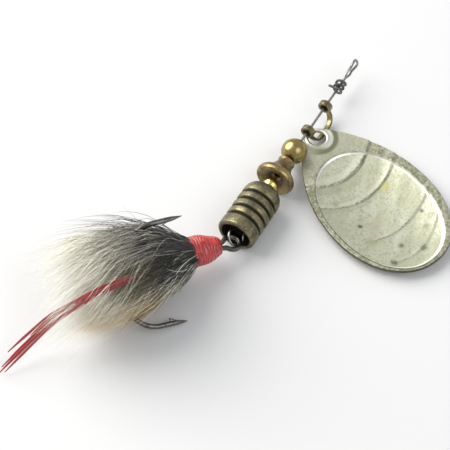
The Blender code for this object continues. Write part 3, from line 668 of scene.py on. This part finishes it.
def bladeFinish(look, tints):
    # an ivory basin in a mottled olive rim, painted highlight and shade lines at the steps and on the
    # basin's wall, stains, and a lipped hole with painted shade and a painted highlight
    finish = Finish("bladeMetal")
    far, wide, edge = finish.layer("far"), finish.layer("wide"), finish.layer("edge")
    place = finish.place
    broad, fine, pits = place.noise(0.32, 5.0, 0.6), place.noise(2.4, 4.0, 0.65), place.noise(5.5, 2.0, 0.5)
    streak = place.stretched(0.5, 1.6, 1.0).noise(1.6, 4.0, 0.7)
    smudge = place.stretched(1.0, 1.3, 1.0).noise(0.9, 6.0, 0.72)
    share = basinShare(far, wide, look)
    basin = share.ramp(0.955, 1.0, 1.0, 0.0)

    # basin, rim and their wear
    ivory = broad.ramp(0.38, 0.62).blend(tints["ivory"], tints["dullIvory"])
    ivory = (fine.ramp(0.48, 0.66) * 0.8).blend(ivory, tints["greyIvory"])
    olive = (fine * 0.6 + broad * 0.4).ramp(0.4, 0.6).blend(tints["olive"], tints["darkOlive"])
    olive = (far.ramp(5.0, 9.0, 1.0, 0.0) * 0.7).blend(olive, tints["tipOlive"])
    colour = basin.blend(olive, ivory)
    colour = (pits.ramp(0.6, 0.7) * 0.6).blend(colour, tints["pit"])
    colour = (streak.ramp(0.58, 0.74) * 0.45).blend(colour, tints["streak"])
    colour = (smudge.ramp(0.56, 0.7) * 0.55).blend(colour, tints["smudge"])

    # a painted highlight on one side of the basin's wall, as if it caught the light, and painted shade in
    # its corner
    crescent = share.band(0.96, 0.005, 0.012) * wide.ramp(1.0, 4.5) * far.ramp(13.0, 18.0)
    crescent = crescent + share.band(0.968, 0.006, 0.014) * far.ramp(23.5, 26.5)
    lit = share.band(0.972, 0.004, 0.011) * 0.7 + crescent
    colour = lit.ramp(0.0, 1.0).blend(colour, tints["bright"])
    sided = wide.ramp(-1.0, 4.0, 1.0, 0.3) * far.ramp(12.0, 18.0, 0.25, 1.0)
    cornerShade = share.band(0.997, 0.005, 0.012) * sided * (0.45 + fine * 0.7)
    colour = cornerShade.blend(colour, tints["cornerShade"])

    # each ripple's step gets a broken dark line and a shade beyond it as painted shade, and a glow before it
    # as a painted highlight
    for at, bow, lean, _, force, half, reach in ripples:
        off = wide - lean
        s = far - (at - off * off * bow) + (fine - 0.5) * 0.55 + (broad - 0.5) * 0.5
        reached = abs(off).ramp(reach - 1.6, reach, 1.0, 0.0) * (0.35 + basin * 0.65)
        line = (abs(s) / (wide.ramp(-5.0, 5.5, 0.55, 1.35) * half)).ramp(0.3, 1.5, 1.0, 0.0)
        line = line * reached * streak.ramp(0.3, 0.55, 0.45, 1.0) * (force * (0.5 + fine * 0.6))
        colour = line.ramp(0.0, 1.0).blend(colour, tints["line"])
        shade = s.band(half * 2.2, half, half * 3.5) * reached
        colour = (shade * 0.35 * force).blend(colour, tints["shade"])
        glow = s.band(-half * 2.6, half * 0.8, half * 2.0) * reached
        colour = (glow * 0.32 * force).blend(colour, tints["glow"])
    for stainFar, stainWide, size, much, tint in stains:
        u, v = far - stainFar, wide - stainWide
        apart = (u * u + v * v) ** 0.5 + (fine - 0.5) * size * 1.6
        colour = (apart.ramp(0.1, size, 1.0, 0.0) * much).blend(colour, tint)

    # painted shade round the hole, a painted highlight on one side of its lip, and a dark outer edge
    u = far - look["holeFromTip"]
    ring = (u * u + wide * wide) ** 0.5
    holeShade = ring.band(2.5, 0.3, 0.45) * (far + wide * 0.7).ramp(1.5, 4.0, 0.1, 0.9)
    colour = holeShade.blend(colour, tints["holeShade"])
    colour = (ring.band(1.8, 0.35, 0.3) * wide.ramp(-1.2, 1.0, 0.0, 0.85)).blend(colour, tints["lipHighlight"])
    colour = (edge.ramp(0.25, 0.8) * 0.9).blend(colour, tints["edge"])
    rough = 0.42 + broad.ramp(0.4, 0.7) * 0.12 - basin * 0.04 + (fine - 0.5) * 0.14
    finish.set(Base_Color=colour, Metallic=0.82, Roughness=rough)
    finish.bump(broad * 1.5 + fine * 0.6 + pits * 0.25, 0.05, 0.5)
    return finish.material


piece("dishedBlade", [bladeShell(bladeLook)], onBlade, bladeFinish(bladeLook, bladeTints), "blade",
      ["blade"])
print("blade done")

trebleLook = dict(
    yaw=144.0, pitch=12.0, wire=0.35, eye=1.15, spread=0.46, singleStart=2.2, bendAt=12.9, bend=4.05,
    point=9.1, flare=0.2, barb=0.72, near=-30.0, up=90.0, far=210.0)
treblePin = np.array(joints["treble_swing"]["pos_m"]) / mm
yaw, pitch = math.radians(trebleLook["yaw"]), math.radians(trebleLook["pitch"])
shankWay = np.array([math.cos(pitch) * math.cos(yaw), math.cos(pitch) * math.sin(yaw), math.sin(pitch)])
nearWay = np.array([-math.sin(yaw), math.cos(yaw), 0.0])
upWay = np.cross(shankWay, nearWay)


def onTreble(points):
    # x along the shank, y to the near side, z up
    return treblePin + points[:, :1] * shankWay + points[:, 1:2] * nearWay + points[:, 2:] * upWay


def hookLine(look, angle):
    # along the shank, half a circle round the bend, then a point that tapers and turns out a little
    turn = np.linspace(0, math.pi, 40)
    bend = polar(look["bendAt"] + look["bend"] * np.sin(turn),
                 look["spread"] + look["bend"] * (1 - np.cos(turn)), angle)
    shank = polar([look["bendAt"] - 1.5, look["bendAt"] - 0.7], look["spread"], angle)
    x = [12.2, 11.4, 10.7, 10.2, 9.8, 9.4, look["point"]]
    share = np.array([1.0, 1.0, 0.9, 0.72, 0.5, 0.27, 0.05])
    rise = np.array([0.05, 0.15, 0.32, 0.48, 0.65, 0.84, 1.0])
    tip = polar(x, look["spread"] + 2 * look["bend"] + look["flare"] * rise, angle)
    return np.vstack([shank, bend, tip]), np.concatenate([np.ones(len(shank) + len(bend)), share])


def barbShell(look, angle):
    # a thin wedge cut up from the inside of the point
    x = np.linspace(9.8, 11.6, 12)
    inward = 0.1 + look["barb"] * np.linspace(0, 1, 12) ** 1.7
    half = np.interp(x, [9.8, 10.6, 11.6], [0.12, 0.12, 0.03])
    turn = around(12)
    radius = look["spread"] + 2 * look["bend"] - inward[:, None] * (0.5 + 0.5 * np.sin(turn))
    ring = polar(x[:, None], radius, angle)
    ring = ring + (half[:, None] * np.cos(turn))[..., None] * polar(0.0, 1.0, angle + 90)
    return grid(ring, caps=True)


def hookTube(look, path, share, reference):
    # the hook's wire along the path, as thick as its share says
    joined = rounded(np.column_stack([path, share]), 0.14, 2, closed=False)
    return tube(joined[:, :3], look["wire"] * joined[:, 3], 16, reference)


def hookPairShells(look):
    # one wire: point, bend and shank of the near hook, round the eye, and back down to the far hook
    near, nearShare = hookLine(look, look["near"])
    far, farShare = hookLine(look, look["far"])
    side = look["spread"] * math.cos(math.radians(look["near"]))
    level = look["spread"] * math.sin(math.radians(look["near"]))
    turn = np.radians(np.linspace(32, 328, 40))
    ring = np.stack([look["eye"] * np.cos(turn), look["eye"] * np.sin(turn), 0 * turn], -1)
    runIn = np.array([(look["bendAt"] - 4, side, level), (4.0, side, level), (2.4, side, level),
                      (1.7, side, level * 0.6)])
    runOut = runIn[::-1] * [1, -1, 1]
    path = np.vstack([near[::-1], runIn, ring, runOut, far])
    share = np.concatenate([nearShare[::-1], np.ones(len(runIn) * 2 + len(ring)), farShare])
    return [hookTube(look, path, share, (0.3, 0.25, 1.0)), barbShell(look, look["near"]),
            barbShell(look, look["far"])]


def hookSingleShells(look):
    # a shank that starts behind the eye, its bend and its point
    line, share = hookLine(look, look["up"])
    start = polar([look["singleStart"]], look["spread"], look["up"])
    wire = hookTube(look, np.vstack([start, line]), np.concatenate([[0.6], share]), (0.1, 1.0, 0.0))
    return [wire, barbShell(look, look["up"])]


for name, shells, node in (("hookPair", hookPairShells(trebleLook), "hook_pair"),
                           ("hookSingle", hookSingleShells(trebleLook), "hook_single")):
    piece(name, shells, onTreble, made["hook"], "treble", [node])

threadLook = dict(
    start=1.95, end=6.85, front=1.2, rear=2.0, turns=10, ridge=0.1, belly=0.3, bore=0.9, hairStart=4.3,
    mouth=1.55, looseHalf=0.05, worn=(0.62, 0.2, 0.17), gap=(0.1, 0.006, 0.008), red=(0.52, 0.03, 0.022),
    darkRed=(0.33, 0.015, 0.012))


def threadShell(look):
    # a cone whose radius rises and falls once a turn along a helix, with a flared mouth at the rear
    t = np.linspace(0, 1, 260)
    angle = around(120)
    x = between(look["start"], look["end"], t)
    radius = between(look["front"], look["rear"], t ** 0.8) + look["belly"] * np.sin(math.pi * t) ** 0.7
    t, radius = t[:, None], radius[:, None]
    wander = 0.22 * np.sin(3 * angle + 11 * t) + 0.16 * np.sin(5 * angle - 17 * t)
    groove = np.abs(np.sin(math.pi * (look["turns"] * t - angle / tau + wander))) ** 0.6
    fade = np.clip(np.minimum(t, 1 - t) / 0.04, 0, 1)
    lump = 0.07 * np.sin(2 * angle + 5 * t) + 0.05 * np.sin(3 * angle - 9 * t)
    outer = radius + (look["ridge"] * (groove - 0.45) + lump) * fade
    inner = np.array([(look["end"] + 0.04, look["rear"] - 0.2), (look["end"], look["mouth"]),
                      (look["hairStart"] + 0.2, 1.4), (look["hairStart"], look["bore"]),
                      (look["start"], look["bore"]), (look["start"] - 0.06, look["front"] - 0.12)])
    inside = (len(inner), len(angle))
    points = polar(np.concatenate([x, inner[:, 0]])[:, None],
                   np.vstack([outer, np.broadcast_to(inner[:, 1:], inside)]), np.degrees(angle))
    # painted shade in the grooves between the turns, and half as much on the inside
    gap = np.vstack([np.clip(1 - groove * 1.5, 0, 1), np.full(inside, 0.5)])
    return grid(points, wrapU=True, gap=gap)


def threadFinish(look):
    # lacquered red turns with painted shade between them, and worn pale spots
    finish = Finish("threadLacquer")
    gap = finish.layer("gap")
    broad, fine = finish.place.noise(0.7, 4.0), finish.place.noise(5.0, 3.0)
    colour = broad.ramp(0.35, 0.7).blend(look["red"], look["darkRed"])
    colour = (fine.ramp(0.58, 0.72) * 0.4).blend(colour, look["worn"])
    colour = (gap * 0.9).blend(colour, look["gap"])
    finish.set(Base_Color=colour, Roughness=0.28 + fine * 0.14, Coat_Weight=0.8 - gap * 0.5,
               Coat_Roughness=0.12)
    finish.bump(fine + broad * 0.6, 0.02, 0.5)
    return finish.material


t = np.linspace(0, 1, 30)[:, None]
looseLoop = np.array([4.6, 0.0, 1.85]) + t * [0.5, 0.5, 0.2] + np.sin(t * math.pi) * [0.1, 0.15, 0.75]
piece("threadWrap", [threadShell(threadLook), tube(looseLoop, threadLook["looseHalf"], 8, (0.2, 1.0, 0.1))],
      onTreble, threadFinish(threadLook), "treble", ["thread_wrap"])
print("hooks and thread done")

# the middle fibre's way, how far its neighbours part from it, how far each point is lifted clear of the
# hair, and the reach at which each fibre is cut
fibreLook = dict(
    reaches=(33.2, 33.9, 33.5, 29.4, 32.4), half=0.25, flat=0.3, flutter=0.06,
    way=[(6.4, 0.8, 0.5), (10.5, 2.1, 1.7), (14.0, 3.1, 2.6), (17.2, 3.5, 2.5),
         (20.5, 3.3, 1.15), (23.4, 3.05, -0.9), (26.4, 2.75, -3.4), (30.1, 3.4, -6.55), (34.6, 4.9, -9.4)],
    parting=[0.08, 0.1, 0.12, 0.18, 0.26, 0.33, 0.42, 0.5, 0.62],
    lifted=[0, 0, 1.6, 3.7, 4.5, 4.1, 2.4, 1.0, 0.1], partWay=(0.0, -0.55, 0.62), liftWay=(0.4, 0.52, 0.75),
    root=(0.21, 0.012, 0.016), red=(0.4, 0.035, 0.034), edge=(0.66, 0.24, 0.21), streak=(0.26, 0.015, 0.02))


def fibreFinish(look):
    # a dull red ribbon with paler edges, darker towards its root
    finish = Finish("redFibre")
    along, across = finish.layer("along"), finish.layer("across")
    streak = finish.place.noise(2.2, 4.0)
    colour = along.ramp(0.35, 0.85).blend(look["root"], look["red"])
    colour = (abs(across).ramp(0.72, 1.0) * 0.55).blend(colour, look["edge"])
    colour = (streak.ramp(0.5, 0.7) * 0.4).blend(colour, look["streak"])
    finish.set(Base_Color=colour, Roughness=0.38 + streak * 0.15, Sheen_Weight=0.3)
    finish.bump(streak, 0.02, 0.4)
    return finish.material


def fibreShell(look, number):
    # a flat tube along the parted and lifted way, thinner at both ends
    line = (np.array(look["way"]) + np.outer(look["parting"], look["partWay"]) * (number - 2)
            + np.outer(look["lifted"], look["liftWay"]))
    line = smoothPath(line, 130)
    line = line[line[:, 0] <= look["reaches"][number] + 0.6]
    share = np.linspace(0, 1, len(line))
    line[:, 1] += look["flutter"] * np.sin(9 * share + 2.1 * number)
    half = look["half"] * np.interp(share, [0, 0.05, 0.93, 1], [0.6, 1, 1, 0.35])
    return tube(line, half, 12, (-0.3, 0.75, 0.6), look["flat"])


redFibre = fibreFinish(fibreLook)
for number in range(len(fibreLook["reaches"])):
    piece("redFibre%d" % (number + 1), [fibreShell(fibreLook, number)], onTreble, redFibre, "treble",
          ["red_fibre_%d" % (number + 1)])
print("fibres done")

# each group: how many, angles round the shank and how they drift towards the tip (mean and spread), reach
# along the shank, radius at the tip, half thickness, a bulge on the way and its fall past the top, droop,
# waver, colours from root to tip and where they change, how much pale flecks and strands darkened as painted
# shade show
hairs = {
    "hairDarkTop": dict(
        count=2500, angles=(24, 185), drift=(0, 8), reach=(12, 18), tipRadius=(1.5, 5.6), thick=0.056,
        droop=0.5, waver=0.3, root=(0.012, 0.011, 0.011), middle=(0.024, 0.022, 0.02),
        tip=(0.1, 0.09, 0.075), split=(0.5, 0.9), nodes=["hair_top_far"], slot="dark_hair"),
    "hairGreyMid": dict(
        count=1900, angles=(4, 92), drift=(-5, 11), reach=(12.5, 19), tipRadius=(2.5, 6.6), thick=0.055,
        droop=0.9, waver=0.45, root=(0.014, 0.013, 0.012), middle=(0.045, 0.041, 0.033),
        tip=(0.34, 0.31, 0.22), split=(0.46, 0.84), flecks=0.7, nodes=["hair_top_near"], slot="dark_hair"),
    "hairDarkFar": dict(
        count=1300, angles=(118, 208), drift=(-4, 10), reach=(11, 21), tipRadius=(2, 5.2), thick=0.052,
        droop=0.8, waver=0.4, root=(0.014, 0.013, 0.012), middle=(0.05, 0.046, 0.04), tip=(0.5, 0.47, 0.38),
        split=(0.45, 0.8), nodes=["hair_side_far"], slot="dark_hair"),
    "hairUnderfur": dict(
        count=1100, angles=(30, 60), drift=(-3, 7), reach=(17.5, 21.5), tipRadius=(6.3, 7.7), thick=0.044,
        droop=0.5, waver=0.8, root=(0.018, 0.017, 0.014), middle=(0.16, 0.13, 0.065), tip=(0.34, 0.29, 0.15),
        split=(0.74, 0.95)),
    "hairPaleFan": dict(
        count=1500, angles=(48, 152), drift=(-44, 18), reach=(17.5, 30.5), tipRadius=(4.2, 7.4), thick=0.046,
        droop=5, waver=0.55, root=(0.03, 0.027, 0.022), middle=(0.42, 0.385, 0.27), tip=(1, 0.98, 0.87),
        split=(0.42, 0.62), shadow=0.3),
    "hairCurl": dict(
        count=110, angles=(66, 112), drift=(-56, 12), reach=(18, 25.5), tipRadius=(7.4, 8.6), thick=0.06,
        droop=1.5, waver=0.4, root=(0.03, 0.028, 0.025), middle=(0.5, 0.46, 0.35), tip=(0.94, 0.91, 0.8),
        split=(0.42, 0.62)),
    "hairOverHook": dict(
        count=800, angles=(64, 128), drift=(-2, 8), reach=(15.5, 22.5), tipRadius=(5, 7.7), thick=0.056,
        bulge=3.1, fall=0.42, droop=1, waver=0.35, root=(0.012, 0.011, 0.011), middle=(0.035, 0.032, 0.028),
        tip=(0.42, 0.4, 0.33), split=(0.45, 0.75), slot="dark_hair"),
    "hairCore": dict(
        count=1000, angles=(0, 360), drift=(0, 12), reach=(15, 23), tipRadius=(0.2, 4.4), thick=0.05,
        droop=1, waver=0.5, root=(0.03, 0.027, 0.022), middle=(0.26, 0.235, 0.17), tip=(0.78, 0.74, 0.6),
        split=(0.4, 0.72)),
    "hairTan": dict(
        count=300, angles=(-27, -10), drift=(0, 5), reach=(16, 18.6), tipRadius=(6, 7.2), thick=0.046,
        droop=0.2, waver=0.5, root=(0.07, 0.06, 0.045), middle=(0.38, 0.24, 0.07), tip=(0.58, 0.4, 0.15),
        split=(0.55, 0.9)),
    "hairGuard": dict(
        count=150, angles=(-5, 125), drift=(-16, 26), reach=(12, 22), tipRadius=(5.6, 7.4), thick=0.062,
        droop=1.2, waver=0.45, root=(0.22, 0.2, 0.17), middle=(0.62, 0.59, 0.5), tip=(0.9, 0.88, 0.8),
        split=(0.1, 0.4)),
    "hairStrays": dict(
        count=70, angles=(70, 150), drift=(0, 12), reach=(14, 25), tipRadius=(6.2, 8.2), thick=0.04,
        droop=0.4, waver=0.7, root=(0.012, 0.012, 0.012), middle=(0.03, 0.03, 0.03), tip=(0.16, 0.16, 0.15),
        split=(0.4, 0.9), slot="dark_hair"),
    "hairLowPale": dict(
        count=900, angles=(-30, 24), drift=(0, 10), reach=(10, 17.5), tipRadius=(3.2, 6.3), thick=0.058,
        droop=0.1, waver=0.45, root=(0.018, 0.017, 0.015), middle=(0.16, 0.145, 0.11), tip=(0.58, 0.53, 0.4),
        split=(0.36, 0.8), flecks=0.8, nodes=["hair_side_near"]),
    "hairTuft": dict(
        count=2000, angles=(-50, 8), drift=(0, 11), reach=(18, 25), tipRadius=(3.6, 7), thick=0.044,
        droop=0.5, waver=0.9, root=(0.3, 0.23, 0.12), middle=(0.84, 0.66, 0.41), tip=(1, 0.88, 0.66),
        split=(0.42, 0.78), shadow=0.3, nodes=["hair_under_near"]),
    "hairBottom": dict(
        count=900, angles=(206, 300), drift=(0, 8), reach=(12, 22), tipRadius=(2.4, 5), thick=0.05,
        droop=0.1, waver=0.4, root=(0.06, 0.055, 0.05), middle=(0.42, 0.37, 0.29), tip=(0.74, 0.68, 0.56),
        split=(0.3, 0.8), nodes=["hair_under_far"]),
}


def hairPaths(look, steps=8):
    # from inside the thread outwards: the radius follows a power of t and a swell, the angle drifts with t
    # squared, the tip droops, and no hair goes below the surface it lies on
    count = look["count"]
    t = np.linspace(0, 1, steps)[None, :]
    angle = rng.uniform(*look["angles"], (count, 1))
    drift = rng.normal(*look["drift"], (count, 1))
    tipX = between(*look["reach"], rng.beta(1.6, 1.5, (count, 1)))
    depth = rng.beta(2.2, 1.2, (count, 1))
    lean = 1 - look.get("fall", 0.0) * np.clip((angle - 84) / 44, 0, 1)
    tipR = between(*look["tipRadius"], depth) * lean
    rootX = rng.uniform(5.3, 6.3, (count, 1))
    rootR = 0.6 + 0.9 * depth
    x = between(rootX, tipX, t)
    swell = np.sin(np.clip((x - 5) / 22, 0, 1) * 2.0)
    radius = between(rootR, tipR, 0.6 * t ** 0.7 + 0.4 * swell * np.clip(t * 2, 0, 1))
    radius = radius + look.get("bulge", 0.0) * depth * lean ** 3 * np.sin(math.pi * t ** 1.9)
    line = polar(x, radius, angle + drift * t ** 2)
    line[..., 2] -= look["droop"] * t ** 2 * rng.uniform(0.2, 1.0, (count, 1))
    phase = t * rng.uniform(2, 6, (count, 1))
    line = line + rng.normal(0, look["waver"], (count, 1, 3)) * np.sin(phase)[..., None] * t[..., None]
    lowest = -(treblePin[2] + line[..., 0] * shankWay[2] - rng.uniform(0.1, 0.9, (count, 1))) / upWay[2]
    line[..., 2] = np.maximum(line[..., 2], lowest)
    return line


paleFleck = (0.8, 0.77, 0.66)


def hairFinish(name, look):
    # one colour at the root, another in the middle and pale at the tip, varied strand by strand, with
    # low-toned strands darkened as painted shade
    finish = Finish(name)
    along, tone = finish.layer("along"), finish.layer("tone")
    first, second = look["split"]
    shifted = along + (tone - 0.5) * 0.35
    colour = shifted.ramp(first - 0.25, first + 0.1).blend(look["root"], look["middle"])
    colour = shifted.ramp(second - 0.2, second + 0.2).blend(colour, look["tip"])
    shadowed = tone.ramp(0.0, 0.25, 1.0, 0.0) * look.get("shadow", 0.8)
    colour = shadowed.blend(colour, tuple(c * 0.2 for c in look["middle"]))
    flecked = tone.ramp(0.86, 0.9) * along.ramp(0.15, 0.4) * look.get("flecks", 0.3)
    colour = flecked.blend(colour, paleFleck)
    finish.set(Base_Color=colour, Roughness=0.55 + tone * 0.15, Sheen_Weight=0.15)
    return finish.material


for name, look in hairs.items():
    paths = hairPaths(look)
    t = np.linspace(0, 1, paths.shape[1])
    radii = look["thick"] * np.interp(t, [0, 0.3, 0.7, 1], [0.9, 1.0, 0.7, 0.12])[None, :]
    tone = rng.uniform(0, 1, (look["count"], 1))
    shell = strands(paths, radii, along=np.broadcast_to(t[None, :], paths.shape[:2]),
                    tone=np.broadcast_to(tone, paths.shape[:2]))
    piece(name, [shell], onTreble, hairFinish(name + "Fur", look), "treble",
          look.get("nodes"))
print("hair done")

floorLook = dict(half=3.0, colour=(0.68, 0.68, 0.68), cloud=(0.665, 0.665, 0.665), rough=0.7)


def floorFinish():
    # a matt pale grey with the faintest clouds
    finish = Finish("paleFloor")
    cloud = finish.place.noise(0.004, 3.0)
    colour = cloud.ramp(0.3, 0.7).blend(floorLook["colour"], floorLook["cloud"])
    finish.set(Base_Color=colour, Roughness=floorLook["rough"])
    return finish.material


s = floorLook["half"]
floorMesh = bpy.data.meshes.new("floor")
floorMesh.from_pydata([(-s, -s, 0), (s, -s, 0), (s, s, 0), (-s, s, 0)], [], [(0, 1, 2, 3)])
floorMesh.materials.append(floorFinish())
placed("floor", floorMesh)

cameraLook = dict(azimuth=-60.0, elevation=55.0, aim=(-1.62, 6.21, 3.71), distance=219.0, lens=128.8)
azimuth, elevation = math.radians(cameraLook["azimuth"]), math.radians(cameraLook["elevation"])
level = math.cos(elevation)
back = np.array([math.sin(azimuth) * level, -math.cos(azimuth) * level, math.sin(elevation)])
rightward = np.array([math.cos(azimuth), math.sin(azimuth), 0.0])
upward = np.cross(back, rightward)


def turned(obj, place, target):
    # the object stands at place and looks at target
    quaternion = Vector(unit(place - target)).to_track_quat("Z", "Y")
    obj.matrix_world = Matrix.Translation(Vector(place)) @ quaternion.to_matrix().to_4x4()


cameraData = bpy.data.cameras.new("camera")
cameraData.lens = cameraLook["lens"]
cameraData.sensor_width = 36.0
cameraData.clip_start, cameraData.clip_end = 0.01, 20.0
camera = placed("camera", cameraData)
aim = np.array(cameraLook["aim"]) * mm
turned(camera, aim + back * cameraLook["distance"] * mm, aim)
scene.camera = camera

# way is rightward, upward and towards the camera
lights = {
    "key": dict(way=(-0.95, 1.0, 0.42), distance=0.55, size=0.6, power=4.7, colour=(1.0, 0.985, 0.95)),
    "fill": dict(way=(0.9, 0.1, 1.2), distance=0.8, size=0.6, power=1.6, colour=(0.96, 0.98, 1.0)),
}
for name, look in lights.items():
    lamp = bpy.data.lights.new(name, "AREA")
    lamp.shape = "DISK"
    lamp.size = look["size"]
    lamp.energy = look["power"]
    lamp.color = look["colour"]
    way = unit(rightward * look["way"][0] + upward * look["way"][1] + back * look["way"][2])
    turned(placed(name, lamp), aim + way * look["distance"], aim)

worldLook = dict(colour=(0.95, 0.97, 1.0), strength=0.58)
world = bpy.data.worlds.new("studio")
world.use_nodes = True
background = world.node_tree.nodes["Background"]
background.inputs["Color"].default_value = (*worldLook["colour"], 1.0)
background.inputs["Strength"].default_value = worldLook["strength"]
scene.world = world
scene.view_settings.view_transform = "Standard"
print("stage done")
